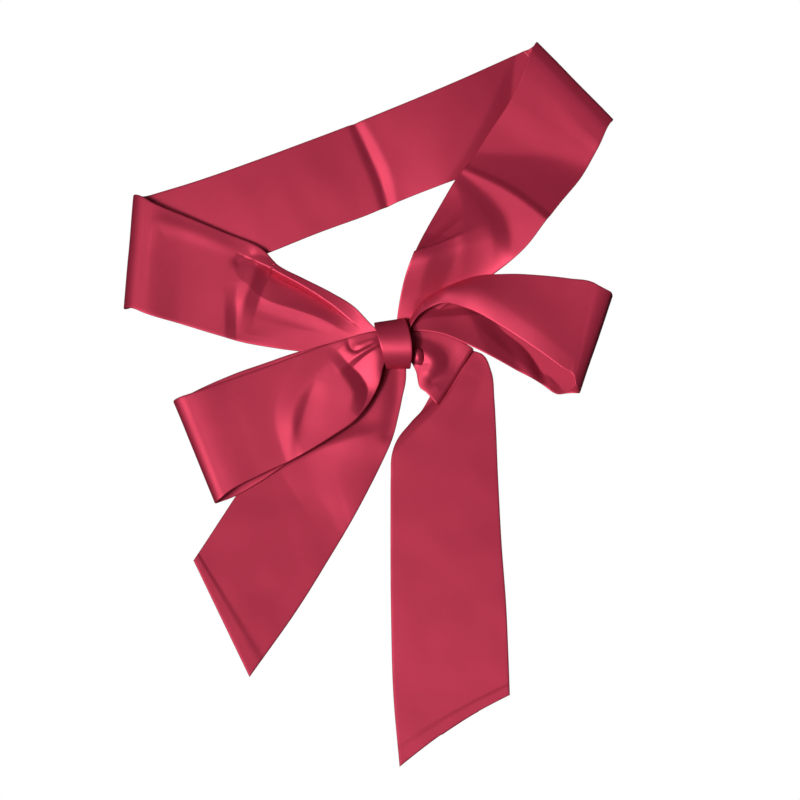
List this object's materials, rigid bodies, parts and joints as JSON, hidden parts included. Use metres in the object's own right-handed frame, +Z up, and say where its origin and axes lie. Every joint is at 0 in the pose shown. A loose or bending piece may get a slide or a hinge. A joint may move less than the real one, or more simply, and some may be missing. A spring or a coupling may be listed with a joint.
{
  "type": "ribbon belt",
  "caption": "Satin ribbon belt tied in a bow and laid flat: a waist loop folded at both ends, bow loops, a knot band and slant-cut tails.",
  "frame": {"origin": "on the floor under the middle of the laid-out belt's bounding box", "axes": "+Z up from the floor, +Y from the ends of the tails towards the back of the waist loop, +X to the right seen from above"},
  "size_m": [0.3672, 0.5466, 0.0261],
  "materials": {
    "satin_waist_back": "crimson satin",
    "satin_waist_left": "crimson satin",
    "satin_waist_right": "crimson satin",
    "satin_loop_left": "crimson satin",
    "satin_loop_right": "crimson satin",
    "satin_tail_left": "crimson satin",
    "satin_tail_turn": "crimson satin",
    "satin_tail_right": "crimson satin",
    "satin_knot_wrap": "crimson satin",
    "satin_knot_core": "crimson satin, gathered",
    "satin_knot_tuck": "crimson satin"
  },
  "bodies": {
    "root": {"waist_back": "satin_waist_back", "waist_left": "satin_waist_left", "waist_right": "satin_waist_right", "loop_left": "satin_loop_left", "loop_right": "satin_loop_right", "tail_left": "satin_tail_left", "tail_turn": "satin_tail_turn", "tail_right": "satin_tail_right", "knot_wrap": "satin_knot_wrap", "knot_core": "satin_knot_core", "knot_tuck": "satin_knot_tuck"}
  },
  "joints": []
}
